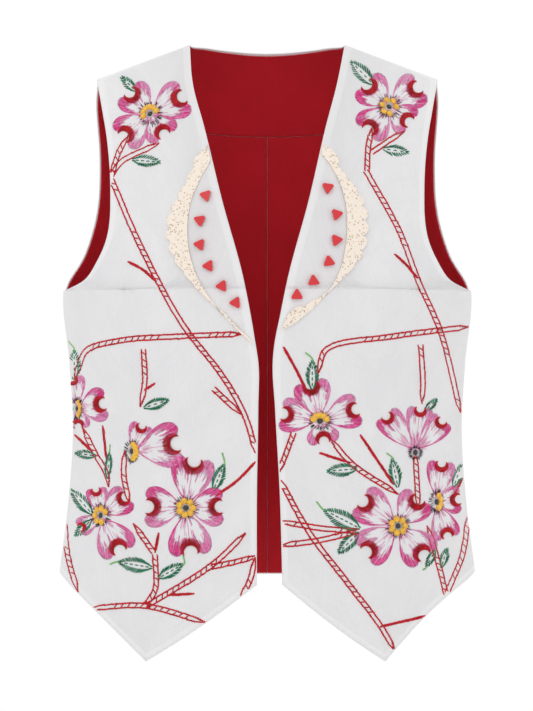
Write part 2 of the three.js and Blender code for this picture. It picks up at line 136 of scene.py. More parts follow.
class Path:
    """A curve in the frontal plane, read by the share of its length or by millimetres along it."""

    def __init__(self, points):
        self.points = curve_through(points)
        step = np.linalg.norm(np.diff(self.points, axis=0), axis=1)
        self.along = np.concatenate([[0], np.cumsum(step)])
        self.length = self.along[-1]

    def at(self, share):
        s = np.clip(share, 0, 1) * self.length
        return np.stack([np.interp(s, self.along, self.points[:, k]) for k in (0, 1)], axis=-1)

    def tangent(self, share):
        d = self.at(np.asarray(share) + 0.01) - self.at(np.asarray(share) - 0.01)
        return d / np.linalg.norm(d, axis=-1, keepdims=True)


half_width = smooth(FORM, 1)
depth_of = {"front": smooth(FORM, 2), "back": smooth(FORM, 3)}
front_edge = {"left": smooth(FRONT_EDGE, 1), "right": smooth(FRONT_EDGE, 2)}


def ridge(x):
    off = np.abs(x)
    nape = NECK_TOP + NAPE_RISE * (1 - (off / NECK_HALF) ** 2)
    return np.where(off < NECK_HALF, nape, NECK_TOP + SLOPE * (NECK_HALF - off))


def profile(face, drop):
    reach, power = PROFILE[face]
    f = np.clip(drop / reach, 0, 1)
    return (1 - (1 - f) ** power) ** (1 / power)


# Sewn darts and soft folds in each panel: a path of (x, z), its width and depth, and how far
# it takes to fade in and out at its ends.
FOLDS = {
    "right_front": [
        ([(-131, -196), (-131, -310)], 3.5, 1.5, 25),
        ([(-150, -404), (-158, -440), (-163, -474)], 5, 1.3, 16),
        ([(-159, -455), (-170, -512)], 8, 1.3, 20),
        ([(-146, -235), (-149, -330)], 14, 1.4, 30),
        ([(-104, -190), (-96, -290)], 16, 1.0, 40),
        ([(-58, -400), (-52, -530)], 16, 0.9, 40),
    ],
    "left_front": [
        ([(137, -214), (137.5, -330)], 3.5, 1.6, 25),
        ([(155, -318), (153, -356)], 8, 1.3, 14),
        ([(146, -340), (147, -400), (148, -474)], 4, 1.6, 18),
        ([(160, -226), (158, -300)], 14, 1.3, 30),
        ([(100, -180), (92, -290)], 16, 1.0, 40),
        ([(56, -400), (48, -530)], 16, 0.9, 40),
    ],
    "back": [
        ([(-15, -20), (-17, -84)], 4, 1.2, 12),
        ([(70, -190), (64, -470)], 14, 1.6, 60),
        ([(-74, -200), (-66, -470)], 14, 1.6, 60),
        ([(118, -150), (124, -420)], 18, 1.2, 60),
        ([(-118, -150), (-124, -420)], 18, 1.2, 60),
        ([(20, -220), (24, -470)], 20, 0.8, 60),
    ],
}


def fold_tables(folds):
    tables = []
    for points, width, depth, fade in folds:
        dense = curve_through(points)
        order = np.argsort(dense[:, 1])
        tables.append((dense[order, 1], dense[order, 0], width, depth, fade))
    return tables


FOLD_TABLES = {name: fold_tables(folds) for name, folds in FOLDS.items()}


def dip(face, x, z):
    """How far the folds take the cloth inwards at (x, z)."""
    total = np.zeros(np.broadcast(x, z).shape)
    names = ("right_front", "left_front") if face == "front" else ("back",)
    for name in names:
        for zs, xs, width, depth, fade in FOLD_TABLES[name]:
            off = (x - np.interp(z, zs, xs)) / width
            ends = np.clip((z - zs[0] + fade) / fade, 0, 1) * np.clip((zs[-1] + fade - z) / fade, 0, 1)
            total = total + depth * ends * np.exp(-off * off)
    # A slow unevenness of cloth that has been worn and pressed.
    ripple = np.sin(x / 13 + 1.7 * np.sin(z / 61)) * np.sin(z / 47 + x / 71)
    return total + 0.35 * (1 + ripple)


def surface(face, x, z):
    """Points of one face of the form at (x, z), as an array with a last axis of three."""
    q = np.clip(np.abs(x) / half_width(z), 0, 1)
    ring = (1 - q**ROUNDNESS) ** (1 / ROUNDNESS)
    lean = profile(face, ridge(x) - z)
    out = depth_of[face](z) * lean * ring
    out = out - np.minimum(out, dip(face, x, z) * np.sqrt(ring) * np.clip(lean * 1.6 - 0.3, 0, 1))
    return np.stack(np.broadcast_arrays(x, FACING[face] * out, z), axis=-1)


# ---------------------------------------------------------------- meshes
def new_object(name, vertices, faces, materials, uv=None, marks=None, face_materials=None):
    mesh = bpy.data.meshes.new(name)
    mesh.from_pydata((np.asarray(vertices) * 0.001).tolist(), [], [list(map(int, f)) for f in faces])
    for material in materials:
        mesh.materials.append(material)
    loops = np.empty(len(mesh.loops), dtype=np.int64)
    mesh.loops.foreach_get("vertex_index", loops)
    if uv is not None:
        layer = mesh.uv_layers.new(name="cloth")
        layer.data.foreach_set("uv", (np.asarray(uv) * 0.001)[loops].ravel())
    for mark, values in (marks or {}).items():
        attribute = mesh.attributes.new(mark, "FLOAT", "POINT")
        attribute.data.foreach_set("value", np.asarray(values, float))
    if face_materials is not None:
        mesh.polygons.foreach_set("material_index", np.asarray(face_materials, dtype=np.int32))
    mesh.polygons.foreach_set("use_smooth", np.ones(len(mesh.polygons), bool))
    mesh.update()
    obj = bpy.data.objects.new(name, mesh)
    bpy.context.scene.collection.objects.link(obj)
    return obj


def grid_normals(grid, turn):
    along = np.gradient(grid, axis=1)
    up = np.gradient(grid, axis=0)
    n = np.cross(along, up) * turn
    return n / np.linalg.norm(n, axis=-1, keepdims=True)


def slide(grid, normals, target, neighbour, by):
    """Moves some grid points towards their neighbours along the cloth."""
    step = grid[neighbour] - grid[target]
    f = np.minimum(0.98, by / np.linalg.norm(step, axis=-1))[..., None]
    grid[target] = grid[target] + step * f
    normals[target] = normals[target] + (normals[neighbour] - normals[target]) * f


def boundary(rows, columns):
    """Row and column numbers once round the edge of a grid."""
    last_row, last_column = rows - 1, columns - 1
    i = [0] * columns + list(range(1, rows)) + [last_row] * last_column + list(range(rows - 2, 0, -1))
    j = list(range(columns)) + [last_column] * last_row + list(range(columns - 2, -1, -1)) + [0] * (rows - 2)
    return np.array(i), np.array(j)


def cloth_wall(name, grid, normals, top, thick, material, roll=0.5):
    """A closed wall of cloth whose outer face lies top below the grid, with rolled edges."""
    rows, columns = grid.shape[:2]
    outer = grid - normals * top
    inner = grid - normals * (top + thick)
    middle = (outer + inner) / 2
    bi, bj = boundary(rows, columns)
    rim = middle[bi, bj]
    ni = np.clip(bi, 1, rows - 2)
    nj = np.clip(bj, 1, columns - 2)
    for layer in (outer, inner):
        step = layer[ni, nj] - layer[bi, bj]
        f = np.minimum(0.6, roll / np.linalg.norm(step, axis=-1))[:, None]
        layer[bi, bj] = layer[bi, bj] + step * f
    count = rows * columns
    vertices = np.vstack([outer.reshape(-1, 3), inner.reshape(-1, 3), rim])
    i, j = np.meshgrid(np.arange(rows - 1), np.arange(columns - 1), indexing="ij")
    a = (i * columns + j).ravel()
    quads = np.stack([a, a + 1, a + columns + 1, a + columns], axis=1)
    edge = bi * columns + bj
    after = np.roll(edge, -1)
    ring = 2 * count + np.arange(len(edge))
    ring_after = np.roll(ring, -1)
    sides = [np.stack([after, edge, ring, ring_after], 1),
             np.stack([ring_after, ring, count + edge, count + after], 1)]
    faces = np.vstack([quads, quads[:, ::-1] + count, *sides])
    across_steps = np.linalg.norm(np.diff(grid, axis=1), axis=-1)
    up_steps = np.linalg.norm(np.diff(grid, axis=0), axis=-1)
    s = np.concatenate([np.zeros((rows, 1)), np.cumsum(across_steps, 1)], 1)
    t = np.concatenate([np.zeros((1, columns)), np.cumsum(up_steps, 0)], 0)
    s = s - s[:, columns // 2:columns // 2 + 1]
    flat = np.stack([s, t], -1).reshape(-1, 2)
    uv = np.vstack([flat, flat, flat[edge]])
    from_edge = np.minimum.reduce([s - s[:, :1], s[:, -1:] - s, t, t[-1:] - t]).ravel()
    marks = {"edge": np.concatenate([from_edge, from_edge, np.zeros(len(edge))])}
    obj = new_object(name, vertices, faces, [material], uv, marks)
    a, b, c = (vertices[faces[:, k]] for k in range(3))
    if np.einsum("ij,ij->i", a, np.cross(b, c)).sum() < 0:
        obj.data.flip_normals()
    return obj


# ---------------------------------------------------------------- materials
def material(name, roughness=0.8, sheen=0.0, sheen_tint=(1, 1, 1), coat=0.0):
    m = bpy.data.materials.new(name)
    m.use_nodes = True
    shader = m.node_tree.nodes["Principled BSDF"]
    shader.inputs["Roughness"].default_value = roughness
    shader.inputs["Sheen Weight"].default_value = sheen
    shader.inputs["Sheen Tint"].default_value = (*sheen_tint, 1)
    shader.inputs["Coat Weight"].default_value = coat
    return m, m.node_tree, shader


def node(tree, kind, inputs=None, **settings):
    n = tree.nodes.new(kind)
    for key, value in settings.items():
        setattr(n, key, value)
    for key, value in (inputs or {}).items():
        if isinstance(value, bpy.types.NodeSocket):
            tree.links.new(value, n.inputs[key])
        else:
            n.inputs[key].default_value = value
    return n


def rgb(r, g, b):
    """A colour given as it looks on a screen, 0 to 255."""
    def linear(c):
        c = c / 255
        return c / 12.92 if c <= 0.04045 else ((c + 0.055) / 1.055) ** 2.4
    return (linear(r), linear(g), linear(b), 1)


def ramp(tree, factor, stops):
    n = node(tree, "ShaderNodeValToRGB", {"Fac": factor})
    elements = n.color_ramp.elements
    while len(elements) < len(stops):
        elements.new(0.5)
    for element, (place, colour) in zip(elements, stops):
        element.position = place
        element.color = colour
    return n.outputs["Color"]


def mapped(tree, source, scale):
    return node(tree, "ShaderNodeMapping", {"Vector": source, "Scale": scale}).outputs["Vector"]


def noise(tree, source, scale, detail=3.0, roughness=0.55):
    inputs = {"Vector": source, "Scale": scale, "Detail": detail, "Roughness": roughness}
    return node(tree, "ShaderNodeTexNoise", inputs).outputs["Fac"]


def math_node(tree, operation, a, b):
    n = node(tree, "ShaderNodeMath", operation=operation)
    for socket, value in zip(n.inputs, (a, b)):
        if isinstance(value, bpy.types.NodeSocket):
            tree.links.new(value, socket)
        else:
            socket.default_value = value
    return n.outputs["Value"]


def bump(tree, shader, height, distance, strength=1.0):
    n = node(tree, "ShaderNodeBump", {"Height": height, "Distance": distance, "Strength": strength})
    tree.links.new(n.outputs["Normal"], shader.inputs["Normal"])


def woven(name, dark, light, threads, roughness, sheen, slub, depth, edge_light=None):
    """Plain-woven cloth: warp and weft with uneven threads, and slow changes of tone."""
    m, tree, shader = material(name, roughness, sheen)
    uv = node(tree, "ShaderNodeUVMap", uv_map="cloth").outputs["UV"]
    warp = noise(tree, mapped(tree, uv, (threads, threads * 0.06, 1)), 1.0, 2.0)
    weft = noise(tree, mapped(tree, uv, (threads * 0.06, threads, 1)), 1.0, 2.0)
    split = node(tree, "ShaderNodeSeparateXYZ", {"Vector": uv})
    beat = 2 * math.pi * threads
    over = [math_node(tree, "SINE", math_node(tree, "MULTIPLY", split.outputs[k], beat), 0.0) for k in (0, 1)]
    weave = math_node(tree, "MULTIPLY", over[0], over[1])
    threads_height = math_node(tree, "ADD", warp, weft)
    height = math_node(tree, "ADD", threads_height, math_node(tree, "MULTIPLY", weave, 0.35))
    cloud = noise(tree, mapped(tree, uv, (1, 1, 1)), 22.0, 4.0)
    slubs = math_node(tree, "MULTIPLY", threads_height, slub)
    tone = math_node(tree, "ADD", slubs, math_node(tree, "MULTIPLY", cloud, 1 - slub))
    colour = ramp(tree, tone, [(0.25, dark), (0.8, light)])
    if edge_light:
        edge = node(tree, "ShaderNodeAttribute", attribute_name="edge").outputs["Fac"]
        band = ramp(tree, math_node(tree, "DIVIDE", edge, 10.0), [(0.62, (1, 1, 1, 1)), (0.78, (0, 0, 0, 1))])
        colour = node(tree, "ShaderNodeMix", {"Factor": band, "A": colour, "B": edge_light}, data_type="RGBA")
        colour = colour.outputs["Result"]
    tree.links.new(colour, shader.inputs["Base Color"])
    bump(tree, shader, height, depth)
    return m


linen = woven("linen", rgb(214, 213, 216), rgb(230, 229, 230), threads=900, roughness=0.9, sheen=0.1,
              slub=0.4, depth=0.00018, edge_light=rgb(234, 233, 234))
lining_red = woven("lining_red", rgb(168, 0, 18), rgb(192, 2, 28), threads=1100, roughness=0.9, sheen=0.0,
                   slub=0.35, depth=0.0001)




def openwork(name):
    """Crocheted cotton: cream rows, with painted shadow as small tan dots where the holes between them lie.
    """
    m, tree, shader = material(name, 0.85, 0.1)
    place = node(tree, "ShaderNodeTexCoord").outputs["Object"]
    holes_and_painted_shadow = node(tree, "ShaderNodeTexVoronoi", {"Vector": place, "Scale": 420.0}).outputs["Distance"]
    # The tan at the middle of each cell is painted shadow, standing for the shade inside the crochet's holes;
    # the same pattern also drives the bump.
    stops = [(0.16, rgb(176, 138, 108)), (0.34, rgb(242, 230, 216))]
    tree.links.new(ramp(tree, holes_and_painted_shadow, stops), shader.inputs["Base Color"])
    bump(tree, shader, holes_and_painted_shadow, 0.0008)
    return m


lace_thread = openwork("lace_thread")
bead_red, _, bead_shader = material("bead_red", 0.2, coat=0.5)
bead_shader.inputs["Base Color"].default_value = rgb(208, 14, 28)
for obj in list(bpy.data.objects):
    if obj.type == "MESH" and obj.name.startswith(("lace_", "bead_")):
        obj.data.materials.clear()
        obj.data.materials.append(lace_thread if obj.name.startswith("lace_") else bead_red)


# ---------------------------------------------------------------- shares
def even(n):
    return np.linspace(0, 1, n + 1)


def crowded(n):
    return (1 - np.cos(np.pi * even(n))) / 2


def joined(low, high, border):
    return np.concatenate([low * border, mix(border, 1, high[1:])])


def angle_of(x, z):
    return np.sign(x) * np.arcsin(np.clip(np.abs(x) / half_width(z), 0, 1) ** (ROUNDNESS / 2))


def x_of(angle, z):
    return np.sign(angle) * half_width(z) * np.sin(np.abs(angle)) ** (2 / ROUNDNESS)


def patch(bottom, top, start, end, across, up):
    """(x, z) over a patch between four boundary curves, with x carried as a ring angle."""
    def flat(p):
        return np.stack([angle_of(p[0], p[1]), np.broadcast_to(p[1], np.shape(p[0]))], -1)

    b, t = flat(bottom(across)), flat(top(across))
    s, e = flat(start(up))[:, None], flat(end(up))[:, None]
    u, v = across[None, :, None], up[:, None, None]
    corners = mix(mix(b[0], b[-1], u), mix(t[0], t[-1], u), v)
    blend = mix(b[None], t[None], v) + mix(s, e, u) - corners
    return x_of(blend[..., 0], blend[..., 1]), blend[..., 1]


def hem_at(side, x):
    """The height of a front's hem at x, out from the opening past its point to the side seam."""
    opening, point = float(front_edge[side](HEM["opening"])), POINT_HALF[side]
    reach = float(half_width(HEM["side"]))
    inner = x < point
    f = np.where(inner, (x - opening) / (point - opening), (x - point) / (reach - point))
    to_point, to_side = mix(HEM["opening"], HEM["point"], f), mix(HEM["point"], HEM["side"], f)
    bow = np.where(inner, *HEM_BOW[side]) * np.sin(math.pi * np.clip(f, 0, 1))
    return np.where(inner, to_point, to_side) + bow


def square_seams(grid, normals, face, on_seam):
    n = normals[on_seam]
    n[:, 1] = 0
    normals[on_seam] = n / np.linalg.norm(n, axis=-1, keepdims=True)
    grid[on_seam, 1] = FACING[face] * GAP / 2


# ---------------------------------------------------------------- fronts
LOW_FRONT_ROWS = even(64)  # from the hem to the underarm
HIGH_FRONT_ROWS = crowded(84)  # from there to the shoulder
FRONT_SPLIT = (36, 40)  # columns to the hem's point and beyond it


def front_grid(side):
    s = SIDE[side]
    edge = front_edge[side]
    armhole = Path(ARMHOLE["front"])
    opening, point = float(edge(HEM["opening"])), POINT_HALF[side]
    first = angle_of(opening, HEM["side"])
    point_share = (angle_of(point, HEM["side"]) - first) / (math.pi / 2 - first)
    across = joined(even(FRONT_SPLIT[0]), even(FRONT_SPLIT[1]), point_share)

    def bottom(u):
        x = x_of(mix(first, math.pi / 2, u), HEM["side"])
        return s * x, hem_at(side, x)

    def level(u):
        from_angle = angle_of(float(edge(UNDERARM[1])), UNDERARM[1])
        x = x_of(mix(from_angle, math.pi / 2, u), UNDERARM[1])
        return s * x, np.full_like(x, UNDERARM[1])

    def top(u):
        x = mix(NECK_HALF, TIP_HALF, u)
        return s * x, ridge(x)

    def low_start(v):
        z = mix(HEM["opening"], UNDERARM[1], v)
        return s * edge(z), z

    def low_end(v):
        z = mix(HEM["side"], UNDERARM[1], v)
        return s * half_width(z), z

    def high_end(v):
        p = armhole.at(v)
        return s * p[:, 0], p[:, 1]

    def high_start(v):
        climb = (high_end(v)[1] - UNDERARM[1]) / (TIP_TOP - UNDERARM[1])
        z = mix(UNDERARM[1], NECK_TOP, climb)
        return s * edge(z), z

    low = patch(bottom, level, low_start, low_end, across, LOW_FRONT_ROWS)
    high = patch(level, top, high_start, high_end, across, HIGH_FRONT_ROWS)
    x, z = (np.vstack([a, b[1:]]) for a, b in zip(low, high))
    grid = surface("front", x, z)
    normals = grid_normals(grid, s)
    on_seam = np.zeros(grid.shape[:2], bool)
    on_seam[-1] = True
    on_seam[:len(LOW_FRONT_ROWS), -1] = True
    square_seams(grid, normals, "front", on_seam)
    return grid, normals


def body_piece(obj, slot, *nodes):
    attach(obj, "root")
    if nodes:
        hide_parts(*nodes)
    return obj


for side in ("left", "right"):
    grid, normals = front_grid(side)
    obj = cloth_wall(f"front_{side}_cloth", grid, normals, 0, SHELL, linen)
    body_piece(obj, "linen", f"front_{side}")
    lining, lining_normals = grid.copy(), normals.copy()
    slide(lining, lining_normals, np.s_[:, 0], np.s_[:, 1], LINING_SETBACK)
    above = np.arange(len(LOW_FRONT_ROWS), len(grid))
    slide(lining, lining_normals, np.s_[above, -1], np.s_[above, -2], LINING_SETBACK)
    slide(lining, lining_normals, np.s_[0], np.s_[1], LINING_SETBACK)
    obj = cloth_wall(f"lining_front_{side}_cloth", lining, lining_normals, SHELL + GAP, LINING,
                     lining_red, 0.3)
    body_piece(obj, "lining", f"lining_front_{side}")

# ---------------------------------------------------------------- back
BACK_COLUMNS = 108
NECK_SHARE = 8 / 18
SIDE_SHARE = 0.6
LOW_ROWS = joined(even(56), crowded(42), SIDE_SHARE)
HIGH_ROWS = 1 - (1 - even(44)) ** 1.6
YOKE_ROW = len(LOW_ROWS) - 1


def back_grid():
    armhole = Path(ARMHOLE["back"])
    share = np.linspace(0, 1, 2001)
    yoke_share = float(np.interp(YOKE["armhole"], armhole.at(share)[:, 1], share))
    yoke_end = armhole.at(np.array([yoke_share]))[0]
    neck_z = smooth(NECK_BACK, 1)
    across = even(BACK_COLUMNS)

    def hem(u):
        w = 2 * u - 1
        return x_of(w * math.pi / 2, HEM["side"]), mix(HEM["back"], HEM["side"], w * w)

    def yoke(u):
        w = 2 * u - 1
        return w * yoke_end[0], mix(YOKE["centre"], YOKE["armhole"], w * w)

    def top(u):
        w = np.abs(2 * u - 1)
        on_neck = w <= NECK_SHARE + 1e-9
        neck = NECK_HALF * np.sin(np.clip(w / NECK_SHARE, 0, 1) * math.pi / 2) ** 0.9
        x = np.where(on_neck, neck, mix(NECK_HALF, TIP_HALF, (w - NECK_SHARE) / (1 - NECK_SHARE)))
        z = np.where(on_neck, np.minimum(neck_z(x), ridge(x)), ridge(x))
        return np.sign(2 * u - 1) * x, z

    def low_end(s):
        def f(v):
            z = mix(HEM["side"], UNDERARM[1], v / SIDE_SHARE)
            p = armhole.at((v - SIDE_SHARE) / (1 - SIDE_SHARE) * yoke_share)
            low = v <= SIDE_SHARE
            return s * np.where(low, half_width(z), p[:, 0]), np.where(low, z, p[:, 1])
        return f

    def high_end(s):
        def f(v):
            p = armhole.at(mix(yoke_share, 1, v))
            return s * p[:, 0], p[:, 1]
        return f

    low = patch(hem, yoke, low_end(-1), low_end(1), across, LOW_ROWS)
    high = patch(yoke, top, high_end(-1), high_end(1), across, HIGH_ROWS)
    x, z = (np.vstack([a, b[1:]]) for a, b in zip(low, high))
    grid = surface("back", x, z)
    normals = grid_normals(grid, -1)
    on_seam = np.zeros(grid.shape[:2], bool)
    on_seam[-1, np.abs(2 * across - 1) > NECK_SHARE - 1e-9] = True
    on_seam[:len(LOW_ROWS)][LOW_ROWS <= SIDE_SHARE] |= (across == 0) | (across == 1)
    square_seams(grid, normals, "back", on_seam)
    return grid, normals


grid, normals = back_grid()
body_piece(cloth_wall("back_cloth", grid, normals, 0, SHELL, linen), "linen", "back")
lining, lining_normals = grid.copy(), normals.copy()
beside = np.concatenate([np.nonzero(LOW_ROWS > SIDE_SHARE)[0], np.arange(YOKE_ROW + 1, len(grid))])
slide(lining, lining_normals, np.s_[beside, 0], np.s_[beside, 1], LINING_SETBACK)
slide(lining, lining_normals, np.s_[beside, -1], np.s_[beside, -2], LINING_SETBACK)
slide(lining, lining_normals, np.s_[0], np.s_[1], LINING_SETBACK)
# At the back neck the shell's edge rolls over, so the top rows of the lining step down.
neck = np.nonzero(np.abs(2 * even(BACK_COLUMNS) - 1) < NECK_SHARE - 1e-9)[0]
rows_down = 12
for column in neck:
    strip = lining[-rows_down:, column]
    along = np.concatenate([[0], np.cumsum(np.linalg.norm(np.diff(strip, axis=0), axis=1))])
    target = along * (along[-1] - NECK_SETBACK) / along[-1]
    for values in (lining, lining_normals):
        part = values[-rows_down:, column].copy()
        values[-rows_down:, column] = np.stack([np.interp(target, along, part[:, k]) for k in range(3)], 1)
centre = BACK_COLUMNS // 2


def lining_piece(name, rows, columns, shifts):
    part, part_normals = lining[rows, columns].copy(), lining_normals[rows, columns].copy()
    for where, axis, by in shifts:
        part[where][..., axis] += by
    obj = cloth_wall(f"{name}_cloth", part, part_normals, SHELL + GAP, LINING, lining_red, 0.3)
    body_piece(obj, "lining", name)


half = GAP / 2
lining_piece("lining_yoke", slice(YOKE_ROW, None), slice(None), [(np.s_[0], 2, half)])
lining_piece("lining_back_right", slice(0, YOKE_ROW + 1), slice(0, centre + 1),
             [(np.s_[-1], 2, -half), (np.s_[:, -1], 0, -half)])
lining_piece("lining_back_left", slice(0, YOKE_ROW + 1), slice(centre, None),
             [(np.s_[-1], 2, -half), (np.s_[:, 0], 0, half)])

# ---------------------------------------------------------------- the embroidery's ground
# The embroidery is laid out on a plan: a plane across the front of the chest,
# through which the fronts are seen from VIEW away.
VIEW = 2533  # from the side seams' plane to the eye
VIEW_X, VIEW_Z = -0.76, -292.5
PLAN = 100  # the plan's distance in front of that plane
rng = np.random.default_rng(7)


def plan_to_front(x, z):
    """The points of the fronts seen through plan points, and the outward directions there."""
    y = np.full(np.shape(x), -100.0)
    for _ in range(5):
        k = (VIEW + y) / (VIEW - PLAN)
        px, pz = VIEW_X + (x - VIEW_X) * k, VIEW_Z + (z - VIEW_Z) * k
        y = surface("front", px, pz)[..., 1]
    point = surface("front", px, pz)
    step = 0.8
    along = surface("front", px + step, pz) - surface("front", px - step, pz)
    up = surface("front", px, pz + step) - surface("front", px, pz - step)
    normal = np.cross(along, up)
    return point, normal / np.linalg.norm(normal, axis=-1, keepdims=True)


ARM_Z, ARM_X = (curve_through(ARMHOLE["front"])[:, k] for k in (1, 0))


def on_panel(side, points, margin):
    """Whether points of a front lie at least margin inside its outline."""
    x, z = points[..., 0] * SIDE[side], points[..., 2]
    reach = np.where(z > UNDERARM[1], np.interp(z, ARM_Z, ARM_X), half_width(z) * 0.995)
    inside = (x > front_edge[side](z) + margin) & (x < reach - margin * 0.5)
    return inside & (z > hem_at(side, x) + margin) & (z < ridge(x) - margin)


THREADS = {  # colours of embroidery thread
    "pink_pale": (255, 176, 212), "pink": (252, 132, 190), "pink_hot": (240, 70, 152),
    "red": (214, 16, 34), "red_deep": (190, 8, 28), "plum": (52, 14, 40), "green": (22, 132, 92),
    "green_deep": (14, 104, 72), "green_light": (132, 200, 112), "yellow": (232, 180, 62),
    "white": (238, 236, 234),
}
THREAD_NUMBER = {name: i for i, name in enumerate(THREADS)}


class Stitches:
    """Straight raised stitches, gathered as plan coordinates and made into one mesh."""

    def __init__(self):
        self.rows = []

    def add(self, start, end, width, height, thread, lift=0.0):
        """Each argument is one value or one per stitch."""
        start, end = np.atleast_2d(start).astype(float), np.atleast_2d(end).astype(float)
        n = len(start)
        if isinstance(thread, str):
            thread = THREAD_NUMBER[thread]
        columns = [np.broadcast_to(np.asarray(v, float), n) for v in (width, height, thread, lift)]
        self.rows.append(np.column_stack([start, end, *columns]))

    def build(self, name, side, materials):
        r = np.vstack(self.rows)
        shares = np.array([0, 0.2, 0.8, 1])
        plan = r[:, None, 0:2] + (r[:, None, 2:4] - r[:, None, 0:2]) * shares[None, :, None]
        p, n = plan_to_front(plan[..., 0], plan[..., 1])
        keep = on_panel(side, p[:, 0], 0.9) & on_panel(side, p[:, 3], 0.9)
        r, p, n = r[keep], p[keep], n[keep]
        width, height, lift = r[:, 4, None], r[:, 5, None], r[:, 7, None]
        run = p[:, 3] - p[:, 0]
        length = np.linalg.norm(run, axis=1, keepdims=True)
        run = run / np.maximum(length, 1e-6)
        vertices = [p[:, 0] + n[:, 0] * (lift + 0.06)]
        for k in (1, 2):
            across = np.cross(n[:, k], run)
            across /= np.linalg.norm(across, axis=1, keepdims=True)
            base = p[:, k] + n[:, k] * (lift - 0.04)
            crown = base + n[:, k] * (height + 0.04)
            vertices += [base + across * width / 2, crown, base - across * width / 2]
        vertices.append(p[:, 3] + n[:, 3] * (lift + 0.06))
        vertices = np.stack(vertices, 1).reshape(-1, 3)
        pattern = [(0, 2, 1), (0, 3, 2), (0, 1, 3), (1, 2, 5, 4), (2, 3, 6, 5), (3, 1, 4, 6),
                   (7, 4, 5), (7, 5, 6), (7, 6, 4)]
        first = np.arange(len(r)) * 8
        faces = []
        for corners in pattern:
            faces += (first[:, None] + np.array(corners)).tolist()
        uv = np.stack([np.tile([0.5, 0, 0.5, 1, 0, 0.5, 1, 0.5], (len(r), 1)),
                       length * np.array([0, 0.2, 0.2, 0.2, 0.8, 0.8, 0.8, 1])], -1).reshape(-1, 2)
        used = sorted(set(r[:, 6].astype(int)))
        lookup = {number: i for i, number in enumerate(used)}
        numbers = np.tile([lookup[int(v)] for v in r[:, 6]], len(pattern))
        return new_object(name, vertices, faces, [materials[i] for i in used], uv, None, numbers)


def thread_material(name, colour):
    """Stranded cotton: a satin sheen, a twist along each stitch and uneven dye."""
    m, tree, shader = material(f"thread_{name}", 0.55, 0.35, tuple(min(1, c * 1.2) for c in rgb(*colour)[:3]))
    uv = node(tree, "ShaderNodeUVMap", uv_map="cloth").outputs["UV"]
    place = node(tree, "ShaderNodeTexCoord").outputs["Object"]
    tone = noise(tree, mapped(tree, place, (1, 1, 1)), 420.0, 2.0)
    dark = rgb(*(c * 0.86 for c in colour))
    light = rgb(*(min(255, c * 1.06 + 4) for c in colour))
    tree.links.new(ramp(tree, tone, [(0.3, dark), (0.7, light)]), shader.inputs["Base Color"])
    split = node(tree, "ShaderNodeSeparateXYZ", {"Vector": uv})
    turns = math_node(tree, "MULTIPLY", split.outputs[1], 2 * math.pi / 0.0008)
    slant = math_node(tree, "MULTIPLY", split.outputs[0], 5000.0)
    bump(tree, shader, math_node(tree, "SINE", math_node(tree, "ADD", turns, slant), 0.0), 0.00008)
    return m


THREAD_MATERIALS = [thread_material(name, colour) for name, colour in THREADS.items()]


# ---------------------------------------------------------------- motifs
def pick(names, n, weights=None):
    return rng.choice([THREAD_NUMBER[name] for name in names], n, p=weights)


def rope(bag, path, offset, thread=("red", "red_deep"), width=1.45, taper=(0, 0)):
    """Stem stitch beside a path: short slanted stitches that overlap like a rope's strands."""
    n = max(2, int(path.length / 2.3))
    share = (np.arange(n) + 0.5) / n
    along = share * path.length
    close = np.ones(n)
    if taper[0]:
        close = np.minimum(close, np.clip(along / taper[0], 0.12, 1))
    if taper[1]:
        close = np.minimum(close, np.clip((path.length - along) / taper[1], 0.12, 1))
    t = path.tangent(share)
    side = np.stack([-t[:, 1], t[:, 0]], 1)
    middle = path.at(share) + side * (offset * close)[:, None]
    slant = side * 0.42
    start = middle - t * 2.0 - slant
    end = middle + t * 2.0 + slant
    jitter = rng.normal(0, 0.12, (n, 2))
    bag.add(start + jitter, end + jitter, width, 0.75, pick(thread, n, (0.75, 0.25)), 0.05)


def branch(bag, kind, points):
    """A twig: two rope lines with slanting bars between them, or a solid one."""
    path = Path(points)
    if kind == "solid":
        rope(bag, path, 0.55, width=1.5, taper=(4, 3))
        rope(bag, path, -0.55, width=1.5, taper=(4, 3))
        return
    half = 2.05
    taper = {"open": (0, 0), "tip": (0, 9), "both": (8, 9)}[kind]
    rope(bag, path, half, taper=taper)
    rope(bag, path, -half, taper=taper)
    along = np.arange(4, path.length - (9 if kind != "open" else 3), 6.0)
    keep = (np.sin(along / 17 + path.length) > -0.45)
    share = along[keep] / path.length
    if len(share):
        t = path.tangent(share)
        side = np.stack([-t[:, 1], t[:, 0]], 1)
        middle = path.at(share) + rng.normal(0, 0.25, (len(share), 2))
        bag.add(middle - side * half * 0.85 - t * 1.5, middle + side * half * 0.85 + t * 1.5, 1.25, 0.65,
                pick(("red", "red_deep"), len(share), (0.75, 0.25)), 0.02)


# Half a petal's outline: how far along, as a share of the notch's distance plus a share of
# the half width, and how far across, as a share of the half width.
PETAL = [
    (0.10, 0.0, 0.03), (0.30, 0.0, 0.30), (0.62, 0.0, 0.78), (0.90, 0.06, 1.0), (1.0, 0.34, 0.92),
    (1.0, 0.50, 0.64), (1.0, 0.40, 0.42), (1.0, 0.14, 0.30), (1.0, 0.0, 0.0),
]


